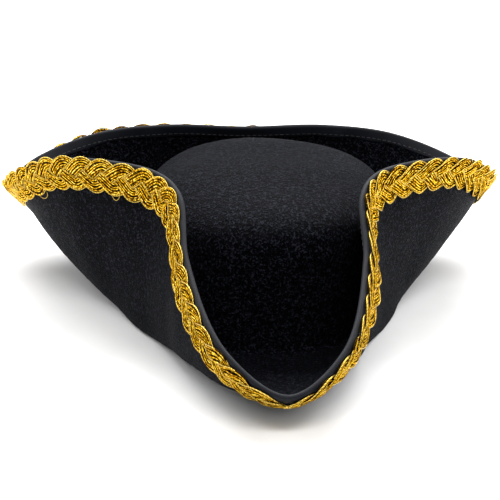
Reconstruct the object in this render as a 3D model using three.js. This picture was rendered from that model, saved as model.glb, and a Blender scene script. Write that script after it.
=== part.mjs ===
// A three-cornered pirate hat of black felt: a domed crown on a brim that is folded up on three
// sides, with a wired and bound edge, gold braid below the edge, and a sweatband with a loose label.
// Millimetres. The front corner points along -Y and +Z is up. The edge is the same left and right, but
// the crown leans a little to +X and the brim's fold is a little fuller on the -X side.
import * as THREE from "three";

// The head opening, measured over the outside of the felt.
const HEAD_HALF_WIDTH = 85.5;
const HEAD_HALF_LENGTH = 105.5;
const FELT = 2.2; // thickness of the felt
const GAP = 0.3; // clearance between pieces that touch on the real hat

// The crown: an upright side behind the sweatband, then a dome that is squarer than an ellipse.
const CROWN_TOP = 97;
const CROWN_SIDE_TOP = 55;
const DOME_POWER = 2.95; // 2 would be an ellipse
const CROWN_LEAN = 7; // how far the crown's top has been pressed over to +X
const LEAN_FROM = 30; // the height, just above the sweatband, at which the lean begins

// The brim: a flat ring round the head opening, then a fold that rises to the edge.
const RING_WIDTH = 8;
const FOLD_WEIGHT = 1.2; // how closely the fold follows its control line
// Half of the edge, from the front corner round to the middle of the back:
// across, along, up, and how far the fold reaches out from the flat ring below that point.
const EDGE_POINTS = [
  [0, -220, 24, 80], // tip of the front corner
  [33, -198, 41, 71],
  [53, -132, 74, 50],
  [56, -89, 100, 24],
  [69, -67, 107, 2], // shoulder of the side flap, beside the crown
  [105, -42, 108, 0],
  [138, -14, 100, 13],
  [162, 22, 81, 24],
  [170, 60, 64, 27],
  [174, 92, 54, 27], // tip of the rear corner
  [154, 119, 64, 28],
  [110, 134, 78, 41],
  [59, 134, 84, 48],
  [0, 128, 84, 50], // middle of the back flap
];
const LEFT_FULLER = 8; // how much further out the fold reaches on the -X side

// Trims along the edge. Distances in from the edge are measured on the felt.
const TAPE = 0.4; // thickness of the binding tape
const TAPE_GAP = 0.4; // clearance of the tape and the braid, which follow a curved surface
const TAPE_DEPTH = 9; // how far each leaf of the tape reaches in
const WIRE_RADIUS = 0.6;
const JOINER_INNER = WIRE_RADIUS + 0.2;
const JOINER_OUTER = 1.1;
const BRAID_START = 1; // distance from the edge to the braid
const BRAID_WIDTH = 22;
const BRAID_THICK = 1.7;
const THREAD_RADIUS = 0.3;

// The sweatband and its label, inside the head opening.
const BAND_HEIGHT = 28;
const BAND_THICK = 1;
const BAND_LIFT = 1; // the band's lower edge, above the surface that the hat rests on
const BAND_SPLIT = 0.8; // between the band's two ends, at the middle of the back
const LABEL_WIDTH = 26;
const LABEL_DROP = 21;
const LABEL_THICK = 0.5;
const LABEL_STAND_OFF = 1.9; // from the band's inner face, which curves forward beside the label

// How finely the surfaces are cut.
const STATIONS = 104; // around the edge
const FOLD_STEPS = 9; // from the flat ring to near the edge
const FOLD_SHARE = 0.8; // where those steps stop, and points measured in from the edge take over
const CROWN_STATIONS = 52;
const DOME_STEPS = 11;
const STEP_IN = 1; // length of a step when measuring in from the edge

const MATERIALS = {
  felt: new THREE.MeshStandardMaterial({ color: 0x16171c, roughness: 0.95, metalness: 0 }),
  tape: new THREE.MeshStandardMaterial({ color: 0x2b2e38, roughness: 0.6, metalness: 0 }),
  steel: new THREE.MeshStandardMaterial({ color: 0x9a9ca0, roughness: 0.35, metalness: 1 }),
  gold: new THREE.MeshStandardMaterial({ color: 0xc8962c, roughness: 0.4, metalness: 0.7 }),
  band: new THREE.MeshStandardMaterial({ color: 0x1b1b1e, roughness: 0.7, metalness: 0 }),
  thread: new THREE.MeshStandardMaterial({ color: 0x222226, roughness: 0.8, metalness: 0 }),
  label: new THREE.MeshStandardMaterial({ color: 0xe9e7e0, roughness: 0.8, metalness: 0 }),
};

const hat = new THREE.Group();

// ---- Building closed solids from rings of points ----

// Adds the named solid that runs through the rings in order and back to the first. Each ring is
// closed, and all have the same number of points. A ring may be one point repeated, which closes
// an end. Faces are turned outwards whichever way the rings run.
function addSolid(name, material, rings) {
  const corners = [];
  const addTriangle = (a, b, c) => {
    if (!a.equals(b) && !b.equals(c) && !c.equals(a)) corners.push([a, b, c]);
  };
  rings.forEach((ring, i) => {
    const next = rings[(i + 1) % rings.length];
    ring.forEach((point, j) => {
      const k = (j + 1) % ring.length;
      addTriangle(point, next[j], next[k]);
      addTriangle(point, next[k], ring[k]);
    });
  });
  const volume = corners.reduce((sum, [a, b, c]) => sum + a.dot(b.clone().cross(c)), 0);
  const facing = volume < 0 ? corners.map(([a, b, c]) => [a, c, b]) : corners;
  const geometry = new THREE.BufferGeometry().setFromPoints(facing.flat());
  geometry.computeVertexNormals();
  const mesh = new THREE.Mesh(geometry, material);
  mesh.name = name;
  hat.add(mesh);
  return mesh;
}

// The middle of a ring, repeated as often as the ring has points.
function endPoint(ring) {
  const middle = ring.reduce((sum, point) => sum.add(point), new THREE.Vector3());
  middle.divideScalar(ring.length);
  return ring.map(() => middle);
}

// Rings with both ends closed, for a piece that doesn't run back into itself.
function closeEnds(rings) {
  return [endPoint(rings[0]), ...rings, endPoint(rings[rings.length - 1])];
}

// The points of a circle about a centre, in the plane of two unit vectors.
function circle(centre, across, up, radius, sides) {
  return Array.from({ length: sides }, (_, i) => {
    const turn = (2 * Math.PI * i) / sides;
    return centre
      .clone()
      .addScaledVector(across, radius * Math.cos(turn))
      .addScaledVector(up, radius * Math.sin(turn));
  });
}

// ---- The crown ----

// How far the crown leans to +X at a height.
const leanAt = (z) => CROWN_LEAN * THREE.MathUtils.smoothstep(z, LEAN_FROM, CROWN_TOP);

// The point of the head opening's ellipse at an angle from the front, moved outwards by grow.
function headPoint(angle, scale, grow, z) {
  return new THREE.Vector3(
    (HEAD_HALF_WIDTH * scale + grow) * Math.sin(angle) + leanAt(z),
    -(HEAD_HALF_LENGTH * scale + grow) * Math.cos(angle),
    z,
  );
}

function headRing(scale, grow, z) {
  return Array.from({ length: CROWN_STATIONS }, (_, i) =>
    headPoint((2 * Math.PI * i) / CROWN_STATIONS, scale, grow, z),
  );
}

// The crown's outline as pairs of scale and height, from the headline to the top.
function crownOutline() {
  const foot = [1, FELT / 2 + GAP];
  const bend = [1, LEAN_FROM];
  const dome = Array.from({ length: DOME_STEPS + 1 }, (_, i) => {
    const turn = (Math.PI / 2) * (i / DOME_STEPS);
    const width = i === DOME_STEPS ? 0 : Math.cos(turn) ** (2 / DOME_POWER);
    const rise = Math.sin(turn) ** (2 / DOME_POWER);
    return [width, CROWN_SIDE_TOP + (CROWN_TOP - CROWN_SIDE_TOP) * rise];
  });
  return [foot, bend, ...dome];
}

function addCrown() {
  const outline = crownOutline();
  const mean = (HEAD_HALF_WIDTH + HEAD_HALF_LENGTH) / 2;
  const outer = outline.map(([scale, z]) => headRing(scale, 0, z));
  const last = outline.length - 1;
  const inner = outline.map(([scale, z], i) => {
    if (i === 0) return headRing(scale, -FELT, z);
    if (i === last) return headRing(0, 0, z - FELT);
    const [before, after] = [outline[i - 1], outline[i + 1]];
    const run = (after[0] - before[0]) * mean;
    const rise = after[1] - before[1];
    const length = Math.hypot(run, rise);
    return headRing(scale, (-FELT * rise) / length, z + (FELT * run) / length);
  });
  addSolid("crown_felt", MATERIALS.felt, [...outer, ...inner.reverse()]);
}

// ---- The brim's middle surface ----

// The closed curve through the points of its right half and the mirrored points of its left half.
function closedCurve(right, left = right) {
  const mirrored = left
    .slice(1, -1)
    .reverse()
    .map((p) => new THREE.Vector3(-p.x, p.y, p.z));
  return new THREE.CatmullRomCurve3([...right, ...mirrored], true);
}

// The angle of a point from the front, and the head opening's radius there.
const angleOf = (p) => Math.atan2(p.x, -p.y);
const headRadius = (angle) =>
  1 / Math.hypot(Math.sin(angle) / HEAD_HALF_WIDTH, Math.cos(angle) / HEAD_HALF_LENGTH);

// The point at the angle of p, on the plane z = 0, at a distance outside the head opening.
function besideHead(p, distance) {
  const angle = angleOf(p);
  const radius = headRadius(angle) + distance;
  return new THREE.Vector3(radius * Math.sin(angle), -radius * Math.cos(angle), 0);
}

const edgeCurve = closedCurve(EDGE_POINTS.map(([x, y, z]) => new THREE.Vector3(x, y, z)));
const foldPoints = (fuller) =>
  EDGE_POINTS.map(([x, y, z, reach]) =>
    besideHead(new THREE.Vector3(x, y, z), RING_WIDTH + reach + fuller),
  );
const foldCurve = closedCurve(foldPoints(0), foldPoints(LEFT_FULLER));

// The brim's middle surface: around runs 0 to 1 along the edge from the front corner, and v runs
// from 0 at the flat ring to 1 at the edge. The fold is a conic arc steered by the fold curve.
function brimPoint(around, v) {
  const t = around - Math.floor(around);
  const edge = edgeCurve.getPoint(t);
  const weights = [(1 - v) ** 2, 2 * v * (1 - v) * FOLD_WEIGHT, v ** 2];
  const total = weights[0] + weights[1] + weights[2];
  return besideHead(edge, RING_WIDTH)
    .multiplyScalar(weights[0] / total)
    .addScaledVector(foldCurve.getPoint(t), weights[1] / total)
    .addScaledVector(edge, weights[2] / total);
}

// The surface's two slopes and its normal, which points to the side that faces the crown.
function brimSlopes(around, v) {
  const small = 1e-4;
  const low = Math.min(v, 1 - small);
  const alongEdge = brimPoint(around + small, v).sub(brimPoint(around - small, v));
  const outwards = brimPoint(around, low + small).sub(brimPoint(around, low));
  alongEdge.divideScalar(2 * small);
  outwards.divideScalar(small);
  const normal = outwards.clone().cross(alongEdge).normalize();
  return { alongEdge, outwards, normal };
}

// The straightest line on the surface from the edge inwards, square to the edge, as a list of
// points and normals one step apart.
function lineIn(around, distance) {
  let [u, v] = [around, 1];
  const first = brimSlopes(u, v);
  const heading = first.normal.clone().cross(first.alongEdge).normalize();
  const line = [{ point: brimPoint(u, v), normal: first.normal }];
  for (let gone = 0; gone < distance; gone += STEP_IN) {
    const { alongEdge, outwards } = brimSlopes(u, v);
    const [aa, ab, bb] = [alongEdge.lengthSq(), alongEdge.dot(outwards), outwards.lengthSq()];
    const [ah, bh] = [alongEdge.dot(heading), outwards.dot(heading)];
    const share = STEP_IN / (aa * bb - ab * ab);
    u += share * (ah * bb - bh * ab);
    v += share * (bh * aa - ah * ab);
    const { normal } = brimSlopes(u, v);
    heading.addScaledVector(normal, -heading.dot(normal)).normalize();
    line.push({ point: brimPoint(u, v), normal });
  }
  return line;
}

const around = (i) => edgeCurve.getUtoTmapping((((i % STATIONS) + STATIONS) % STATIONS) / STATIONS);
const lines = Array.from({ length: STATIONS }, (_, i) =>
  lineIn(around(i), BRAID_START + BRAID_WIDTH + STEP_IN),
);

// The point at a distance in from the edge, raised off the middle surface towards the crown.
function atEdge(station, distance, raise) {
  const line = lines[station % STATIONS];
  const step = Math.floor(distance / STEP_IN);
  const share = distance / STEP_IN - step;
  const [a, b] = [line[step], line[step + 1]];
  const normal = a.normal.clone().lerp(b.normal, share).normalize();
  return a.point.clone().lerp(b.point, share).addScaledVector(normal, raise);
}

// ---- The brim and the trims along its edge ----

const FOLD_RADIUS = FELT / 2 + TAPE_GAP + TAPE; // outside of the tape where it turns over the edge
const FELT_INSET = FOLD_RADIUS + JOINER_OUTER + GAP; // the felt stops short of the wire

function addBrim() {
  const rings = [];
  for (let i = 0; i < STATIONS; i += 1) {
    const under = [];
    const upper = [];
    const edge = brimPoint(around(i), 1);
    for (const distance of [-FELT, 0]) {
      under.push(besideHead(edge, distance).setZ(-FELT / 2));
      upper.push(besideHead(edge, distance).setZ(FELT / 2));
    }
    for (let step = 0; step < FOLD_STEPS; step += 1) {
      const v = (FOLD_SHARE * step) / (FOLD_STEPS - 1);
      const point = brimPoint(around(i), v);
      const { normal } = brimSlopes(around(i), Math.max(v, 1e-3));
      const lift = step === 0 ? new THREE.Vector3(0, 0, 1) : normal;
      under.push(point.clone().addScaledVector(lift, -FELT / 2));
      upper.push(point.clone().addScaledVector(lift, FELT / 2));
    }
    for (const distance of [TAPE_DEPTH, FELT_INSET]) {
      under.push(atEdge(i, distance, -FELT / 2));
      upper.push(atEdge(i, distance, FELT / 2));
    }
    rings.push([...upper, ...under.reverse()]);
  }
  addSolid("brim_felt", MATERIALS.felt, rings);
}

// Directions at the turned edge: in along the felt, and off its middle surface.
function edgeFrame(station) {
  const centre = atEdge(station, FOLD_RADIUS, 0);
  const off = atEdge(station, FOLD_RADIUS, 1).sub(centre);
  const inwards = atEdge(station, FOLD_RADIUS + 2, 0).sub(centre).normalize();
  return { centre, off, inwards };
}

function addBinding() {
  const rings = [];
  const turns = [90, 45, 0, -45, -90].map(THREE.MathUtils.degToRad);
  for (let i = 0; i < STATIONS; i += 1) {
    const { centre, off, inwards } = edgeFrame(i);
    const arc = (radius) =>
      turns.map((turn) =>
        centre
          .clone()
          .addScaledVector(off, radius * Math.sin(turn))
          .addScaledVector(inwards, -radius * Math.cos(turn)),
      );
    const inside = FOLD_RADIUS - TAPE;
    rings.push([
      atEdge(i, TAPE_DEPTH, FOLD_RADIUS),
      ...arc(FOLD_RADIUS),
      atEdge(i, TAPE_DEPTH, -FOLD_RADIUS),
      atEdge(i, TAPE_DEPTH, -inside),
      ...arc(inside).reverse(),
      atEdge(i, TAPE_DEPTH, inside),
    ]);
  }
  addSolid("edge_binding", MATERIALS.tape, rings);
}

// The thread that sews the tape down, along the leaf that faces the crown.
function addBindingThread() {
  const rings = [];
  for (let i = 0; i < STATIONS; i += 1) {
    const { off, inwards } = edgeFrame(i);
    const centre = atEdge(i, TAPE_DEPTH - 2, FOLD_RADIUS + THREAD_RADIUS + GAP);
    rings.push(circle(centre, inwards, off, THREAD_RADIUS, 5));
  }
  addSolid("binding_thread", MATERIALS.thread, rings);
}

// The spring wire in the fold of the tape, open at the middle of the back, and the sleeve that
// holds its two ends together.
function addWire() {
  const back = STATIONS / 2;
  const rings = [];
  for (let i = 0; i <= STATIONS; i += 1) {
    const { centre, off, inwards } = edgeFrame(back + i);
    if (i === 0 || i === STATIONS) centre.x += (i === 0 ? -1 : 1) * 0.5;
    rings.push(circle(centre, inwards, off, WIRE_RADIUS, 6));
  }
  addSolid("brim_wire", MATERIALS.steel, closeEnds(rings));

  const sleeve = (station, radius) => {
    const { centre, off, inwards } = edgeFrame(station);
    return circle(centre, inwards, off, radius, 10);
  };
  addSolid("wire_joiner", MATERIALS.steel, [
    ...[-1, 0, 1].map((step) => sleeve(back + step, JOINER_OUTER)),
    ...[1, 0, -1].map((step) => sleeve(back + step, JOINER_INNER)),
  ]);
}

// The braid on the outer face. Its two ends meet under the front corner.
function addBraid() {
  const raise = -(FOLD_RADIUS + TAPE_GAP);
  const end = BRAID_START + BRAID_WIDTH;
  const across = [BRAID_START, TAPE_DEPTH, (TAPE_DEPTH + end) / 2, end];
  const back = [...across].reverse();
  const rings = [];
  for (let i = 0; i <= STATIONS; i += 1) {
    const ring = [
      ...across.map((distance) => atEdge(i, distance, raise)),
      ...back.map((distance) => atEdge(i, distance, raise - BRAID_THICK)),
    ];
    if (i === 0) ring.forEach((point) => (point.x = GAP));
    if (i === STATIONS) ring.forEach((point) => (point.x = -GAP));
    rings.push(ring);
  }
  addSolid("gold_braid", MATERIALS.gold, closeEnds(rings));
}

// The stitches that draw the braid's two ends together, as one thread that zigzags over the join.
function addBraidEndThread() {
  const raise = -(FOLD_RADIUS + TAPE_GAP + BRAID_THICK + GAP + THREAD_RADIUS);
  const crossings = 8;
  const points = Array.from({ length: crossings + 1 }, (_, i) => {
    const distance = BRAID_START + 2 + ((BRAID_WIDTH - 4) * i) / crossings;
    const point = atEdge(0, distance, raise);
    point.x += i % 2 === 0 ? 1.6 : -1.6;
    return point;
  });
  addThread("braid_end_thread", MATERIALS.gold, points, new THREE.Vector3(1, 0, 0));
}

// A thread of six sides through the points. The side vector isn't along any part of the thread.
function addThread(name, material, points, side) {
  const rings = points.map((point, i) => {
    const ahead = points[Math.min(i + 1, points.length - 1)];
    const behind = points[Math.max(i - 1, 0)];
    const along = ahead.clone().sub(behind).normalize();
    const up = along.clone().cross(side).normalize();
    return circle(point, up.clone().cross(along).normalize(), up, THREAD_RADIUS, 6);
  });
  addSolid(name, material, closeEnds(rings));
}

// ---- Inside the head opening ----

const BAND_BOTTOM = BAND_LIFT - FELT / 2;
const BAND_INNER = -(FELT + GAP + BAND_THICK); // the band's inner face, from the outside of the felt

function addSweatband() {
  const rings = [];
  const outer = -(FELT + GAP);
  const splitAngle = BAND_SPLIT / 2 / HEAD_HALF_WIDTH;
  for (let i = 0; i <= CROWN_STATIONS; i += 1) {
    const full = 2 * (Math.PI - splitAngle);
    const angle = Math.PI + splitAngle + (full * i) / CROWN_STATIONS;
    const [low, high] = [BAND_BOTTOM, BAND_BOTTOM + BAND_HEIGHT];
    rings.push([
      headPoint(angle, 1, outer, low),
      headPoint(angle, 1, outer, high),
      headPoint(angle, 1, BAND_INNER, high),
      headPoint(angle, 1, BAND_INNER, low),
    ]);
  }
  addSolid("sweatband", MATERIALS.band, closeEnds(rings));
}

// The thread that sews the band to the felt, just above the band's lower edge.
function addSweatbandThread() {
  const grow = BAND_INNER - THREAD_RADIUS - GAP;
  const z = BAND_BOTTOM + 2;
  const rings = Array.from({ length: CROWN_STATIONS }, (_, i) => {
    const angle = (2 * Math.PI * i) / CROWN_STATIONS;
    const out = new THREE.Vector3(Math.sin(angle), -Math.cos(angle), 0);
    return circle(headPoint(angle, 1, grow, z), out, new THREE.Vector3(0, 0, 1), THREAD_RADIUS, 5);
  });
  addSolid("sweatband_thread", MATERIALS.thread, rings);
}

// The zigzag stitches over the butt joint of the band's two ends.
function addJoinThread() {
  const crossings = 10;
  const y = HEAD_HALF_LENGTH + BAND_INNER - THREAD_RADIUS - GAP;
  const bottom = BAND_BOTTOM + 3.5;
  const points = Array.from({ length: crossings + 1 }, (_, i) => {
    const z = bottom + ((BAND_HEIGHT - 5.5) * i) / crossings;
    return new THREE.Vector3(i % 2 === 0 ? 1.2 : -1.2, y, z);
  });
  addThread("sweatband_join_thread", MATERIALS.thread, points, new THREE.Vector3(0, 1, 0));
}

// The blank label, which hangs from the band's upper edge, and the thread along its upper edge.
function addLabel() {
  const y = HEAD_HALF_LENGTH + BAND_INNER - LABEL_STAND_OFF;
  const top = BAND_BOTTOM + BAND_HEIGHT - 2;
  const box = new THREE.BoxGeometry(LABEL_WIDTH, LABEL_THICK, LABEL_DROP);
  const label = new THREE.Mesh(box, MATERIALS.label);
  label.name = "care_label";
  label.position.set(0, y, top - LABEL_DROP / 2);
  hat.add(label);

  const stitches = 10;
  const points = Array.from({ length: stitches + 1 }, (_, i) => {
    const x = (LABEL_WIDTH - 8) * (i / stitches - 0.5);
    const z = top + THREAD_RADIUS + GAP + (i % 2) * 0.7;
    return new THREE.Vector3(x, y + 2 * THREAD_RADIUS, z);
  });
  addThread("label_thread", MATERIALS.thread, points, new THREE.Vector3(0, 1, 0));
}

addCrown();
addBrim();
addBinding();
addBindingThread();
addWire();
addBraid();
addBraidEndThread();
addSweatband();
addSweatbandThread();
addJoinThread();
addLabel();

// The origin is at the middle of the bounding box's underside.
const box = new THREE.Box3().setFromObject(hat);
hat.position.set(-(box.min.x + box.max.x) / 2, -(box.min.y + box.max.y) / 2, -box.min.z);

export default hat;
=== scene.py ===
"""The looks of the pirate hat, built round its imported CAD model: felt, binding, plaited gold braid,
sweatband and label. Metres, in the frame of the CAD model: the front corner points along -Y."""

import math

import bpy
import bmesh
import numpy as np
from mathutils import Matrix, Vector


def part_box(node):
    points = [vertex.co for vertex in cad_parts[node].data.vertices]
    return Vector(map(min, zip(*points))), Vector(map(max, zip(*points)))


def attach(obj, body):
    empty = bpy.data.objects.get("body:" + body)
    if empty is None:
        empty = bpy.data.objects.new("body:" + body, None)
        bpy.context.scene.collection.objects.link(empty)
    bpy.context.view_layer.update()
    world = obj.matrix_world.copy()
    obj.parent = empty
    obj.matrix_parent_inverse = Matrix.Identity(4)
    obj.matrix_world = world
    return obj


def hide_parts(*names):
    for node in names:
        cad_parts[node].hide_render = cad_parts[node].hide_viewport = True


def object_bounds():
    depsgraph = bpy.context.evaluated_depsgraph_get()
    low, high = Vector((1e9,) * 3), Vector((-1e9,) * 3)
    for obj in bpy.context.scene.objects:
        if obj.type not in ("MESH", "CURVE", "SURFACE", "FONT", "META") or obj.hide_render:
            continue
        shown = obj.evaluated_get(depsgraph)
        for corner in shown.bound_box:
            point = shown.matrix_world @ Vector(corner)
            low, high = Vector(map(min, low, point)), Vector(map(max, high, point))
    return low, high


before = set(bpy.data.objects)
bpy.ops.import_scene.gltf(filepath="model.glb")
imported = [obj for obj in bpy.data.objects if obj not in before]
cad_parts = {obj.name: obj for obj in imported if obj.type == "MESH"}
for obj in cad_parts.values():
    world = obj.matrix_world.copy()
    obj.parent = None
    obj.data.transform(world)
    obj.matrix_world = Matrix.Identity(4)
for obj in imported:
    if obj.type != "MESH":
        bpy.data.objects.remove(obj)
CAD_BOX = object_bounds()

MM = 0.001
BODY = "hat"

# ---- Sizes, as in the CAD model ----

FELT = 2.2 * MM
GAP = 0.3 * MM  # clearance of the crown from the sweatband inside it and the brim below it
RING_WIDTH = 8 * MM  # of the brim's flat ring round the head opening
FOLD_WEIGHT = 1.2  # how closely the brim's bend follows the fold curve
# Half of the brim's edge from the front corner to the middle of the back, in millimetres:
# across, along, up, and how far the fold reaches out from the flat ring below that point.
EDGE_POINTS = [
    (0, -220, 24, 80),  # tip of the front corner
    (33, -198, 41, 71),
    (53, -132, 74, 50),
    (56, -89, 100, 24),
    (69, -67, 107, 2),  # shoulder of the side flap
    (105, -42, 108, 0),
    (138, -14, 100, 13),
    (162, 22, 81, 24),
    (170, 60, 64, 27),
    (174, 92, 54, 27),  # tip of the rear corner
    (154, 119, 64, 28),
    (110, 134, 78, 41),
    (59, 134, 84, 48),
    (0, 128, 84, 50),  # middle of the back flap
]
LEFT_FULLER = 8 * MM  # how much further out the fold reaches on the -X side
TAPE = 0.4 * MM  # thickness of the binding tape
TAPE_GAP = 0.4 * MM  # room between the tape and the felt
TAPE_DEPTH = 9 * MM  # how far each leaf of the tape reaches in from the edge
FOLD_RADIUS = FELT / 2 + TAPE_GAP + TAPE
WIRE_ROOM = 1.4 * MM  # in the fold of the tape, outside the felt
FELT_INSET = FOLD_RADIUS + WIRE_ROOM
BRAID_START = 1 * MM  # from the edge
BRAID_WIDTH = 22 * MM

BAND_THICK = 1 * MM
BAND_INSET = FELT + GAP  # from the outside of the crown to the outside of the sweatband

CROWN_LOW, CROWN_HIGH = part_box("crown_felt")
BAND_LOW, BAND_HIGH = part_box("sweatband")
HEAD_HALF_WIDTH = (BAND_HIGH.x - BAND_LOW.x) / 2 + BAND_INSET
HEAD_HALF_LENGTH = (BAND_HIGH.y - BAND_LOW.y) / 2 + BAND_INSET
# The middle of the head opening, at the height of the middle of the flat ring's felt.
HEAD_CENTRE = np.array(
    [
        (BAND_HIGH.x + BAND_LOW.x) / 2,
        (BAND_HIGH.y + BAND_LOW.y) / 2,
        CROWN_LOW.z - FELT / 2 - GAP,
    ]
)
CROWN_TOP = CROWN_HIGH.z - HEAD_CENTRE[2]
CROWN_SIDE_TOP = 55 * MM  # the height at which the dome begins
DOME_POWER = 2.95  # 2 would be an ellipse
CROWN_LEAN = 7 * MM  # to +X at the top
LEAN_FROM = 30 * MM  # the height, just above the sweatband, at which the lean begins


# ---- Camera ----


def add_camera():
    """A long lens, 19 degrees above the hat, with the front corner turned a little to the right."""
    elevation = math.radians(19.4)
    yaw = math.radians(4.6)
    roll = math.radians(-1.2)
    distance = 1050 * MM
    aim_aside = -5.3 * MM
    aim_above = 31.6 * MM
    ahead = np.array(
        [
            math.cos(elevation) * math.sin(yaw),
            math.cos(elevation) * math.cos(yaw),
            -math.sin(elevation),
        ]
    )
    right = np.array([math.cos(yaw), -math.sin(yaw), 0])
    up = np.cross(right, ahead)
    target = HEAD_CENTRE + right * aim_aside + np.array([0, 0, aim_above])
    tilted_right = math.cos(roll) * right - math.sin(roll) * up
    tilted_up = math.sin(roll) * right + math.cos(roll) * up
    data = bpy.data.cameras.new("camera")
    data.sensor_width = 36
    data.lens = 111.384
    camera = bpy.data.objects.new("camera", data)
    turn = Matrix((tilted_right, tilted_up, -ahead)).transposed()
    camera.matrix_world = Matrix.Translation(target - distance * ahead) @ turn.to_4x4()
    bpy.context.scene.collection.objects.link(camera)
    bpy.context.scene.camera = camera


add_camera()


# ---- The brim's middle surface ----


def closed_knots(right, left):
    """A ring of knots: its right half, then the left half, which is given as if it were on the
    right."""
    mirrored = left[1:-1][::-1] * np.array([-1, 1, 1])
    return np.concatenate([right, mirrored])


def curve_through(knots, t):
    """Points of the closed centripetal Catmull-Rom curve through the knots, t from 0 to 1."""
    count = len(knots)
    place = (np.asarray(t) % 1.0) * count
    i = np.floor(place).astype(int) % count
    w = (place - np.floor(place))[..., None]
    a, b, c, d = (knots[(i + k) % count] for k in (-1, 0, 1, 2))
    ab, bc, cd = (
        np.sqrt(np.linalg.norm(q - p, axis=-1, keepdims=True))
        for p, q in ((a, b), (b, c), (c, d))
    )
    start = ((b - a) / ab - (c - a) / (ab + bc) + (c - b) / bc) * bc
    end = ((c - b) / bc - (d - b) / (bc + cd) + (d - c) / cd) * bc
    square = -3 * b + 3 * c - 2 * start - end
    cube = 2 * b - 2 * c + start + end
    return b + start * w + square * w**2 + cube * w**3


def beside_head(p, distance):
    """The point in the direction of p, at height 0, a distance outside the head opening."""
    angle = np.arctan2(p[..., 0], -p[..., 1])
    sine, cosine = np.sin(angle), np.cos(angle)
    radius = 1 / np.hypot(sine / HEAD_HALF_WIDTH, cosine / HEAD_HALF_LENGTH) + distance
    return np.stack([radius * sine, -radius * cosine, np.zeros_like(angle)], -1)


EDGE_HALF, FOLD_REACH = np.split(np.array(EDGE_POINTS, float) * MM, [3], axis=1)
FOLD_REACH = RING_WIDTH + FOLD_REACH[:, 0]
EDGE_KNOTS = closed_knots(EDGE_HALF, EDGE_HALF)
FOLD_KNOTS = closed_knots(
    beside_head(EDGE_HALF, FOLD_REACH), beside_head(EDGE_HALF, FOLD_REACH + LEFT_FULLER)
)


def brim_point(t, v):
    """The brim's middle surface, from v = 0 at the flat ring to v = 1 at the edge."""
    edge = curve_through(EDGE_KNOTS, t)
    v = np.broadcast_to(v, np.shape(t))[..., None]
    w0, w1, w2 = (1 - v) ** 2, 2 * v * (1 - v) * FOLD_WEIGHT, v**2
    fold = curve_through(FOLD_KNOTS, t)
    return (w0 * beside_head(edge, RING_WIDTH) + w1 * fold + w2 * edge) / (w0 + w1 + w2)


def unit(vectors):
    return vectors / np.linalg.norm(vectors, axis=-1, keepdims=True)


def dot(a, b):
    return np.sum(a * b, axis=-1, keepdims=True)


def brim_slopes(t, v):
    """The surface's slopes along the edge and outwards, and its normal on the crown's side."""
    small = 1e-4
    low = np.minimum(v, 1 - small)
    along = (brim_point(t + small, v) - brim_point(t - small, v)) / (2 * small)
    outwards = (brim_point(t, low + small) - brim_point(t, low)) / small
    return along, outwards, unit(np.cross(outwards, along))


def even_stations(count):
    """Curve parameters that are evenly spaced along the edge, and the edge's length."""
    fine = np.linspace(0, 1, 6001)
    points = curve_through(EDGE_KNOTS, fine)
    gone = np.concatenate([[0], np.cumsum(np.linalg.norm(np.diff(points, axis=0), axis=1))])
    wanted = np.arange(count) / count * gone[-1]
    return np.interp(wanted, gone, fine), gone[-1]


def lines_in(t, steps, step):
    """Straightest lines on the surface from the edge inwards: points and normals."""
    u, v = t.copy(), np.ones_like(t)
    along, outwards, normal = brim_slopes(u, v)
    heading = unit(np.cross(normal, along))
    points, normals = [brim_point(u, v)], [normal]
    for _ in range(steps):
        along, outwards = brim_slopes(u, v)[:2]
        aa, ab, bb = dot(along, along), dot(along, outwards), dot(outwards, outwards)
        ah, bh = dot(along, heading), dot(outwards, heading)
        share = step / (aa * bb - ab * ab)
        u = u + (share * (ah * bb - bh * ab))[..., 0]
        v = v + (share * (bh * aa - ah * ab))[..., 0]
        normal = brim_slopes(u, v)[2]
        heading = unit(heading - normal * dot(heading, normal))
        points.append(brim_point(u, v))
        normals.append(normal)
    return np.stack(points, 1), np.stack(normals, 1)


STATIONS = 1200
STATION_T, EDGE_LENGTH = even_stations(STATIONS)
LINE_STEP = 1 * MM
LINE_STEPS = 36  # deeper than the braid's lowest scallop
LINE_POINTS, LINE_NORMALS = lines_in(STATION_T, LINE_STEPS, LINE_STEP)


def at_edge(along, depth, lift):
    """The point at a length along the edge and a depth in from it, lifted towards the crown."""
    place = (np.asarray(along) / EDGE_LENGTH * STATIONS) % STATIONS
    i = np.floor(place).astype(int) % STATIONS
    j = (i + 1) % STATIONS
    w = (place - np.floor(place))[..., None]
    row = np.asarray(depth) / LINE_STEP
    k = np.clip(np.floor(row).astype(int), 0, LINE_POINTS.shape[1] - 2)
    x = (row - k)[..., None]

    def mixed(grid):
        near = grid[i, k] * (1 - w) + grid[j, k] * w
        far = grid[i, k + 1] * (1 - w) + grid[j, k + 1] * w
        return near * (1 - x) + far * x

    normal = unit(mixed(LINE_NORMALS))
    return mixed(LINE_POINTS) + normal * np.asarray(lift)[..., None]


# ---- Building meshes ----


def ripple(points, wavelength, seed):
    """A smooth unevenness of about -1 to 1, the sum of plane waves in directions drawn from the
    seed."""
    waves = 7
    draw = np.random.default_rng(seed)
    total = np.zeros(points.shape[:-1])
    for _ in range(waves):
        direction = unit(draw.normal(size=3))
        number = 2 * math.pi / wavelength * draw.uniform(0.7, 1.4)
        total += np.sin(points @ direction * number + draw.uniform(0, 2 * math.pi))
    return total / math.sqrt(waves)


def add_piece(name, mesh, material, replaces, body=BODY):
    """A smooth-shaded object of the mesh that rides on the body and replaces the CAD nodes."""
    mesh.validate()
    mesh.materials.append(material)
    mesh.shade_smooth()
    piece = bpy.data.objects.new(name, mesh)
    bpy.context.scene.collection.objects.link(piece)
    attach(piece, body)
    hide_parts(*replaces)
    return piece


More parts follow.
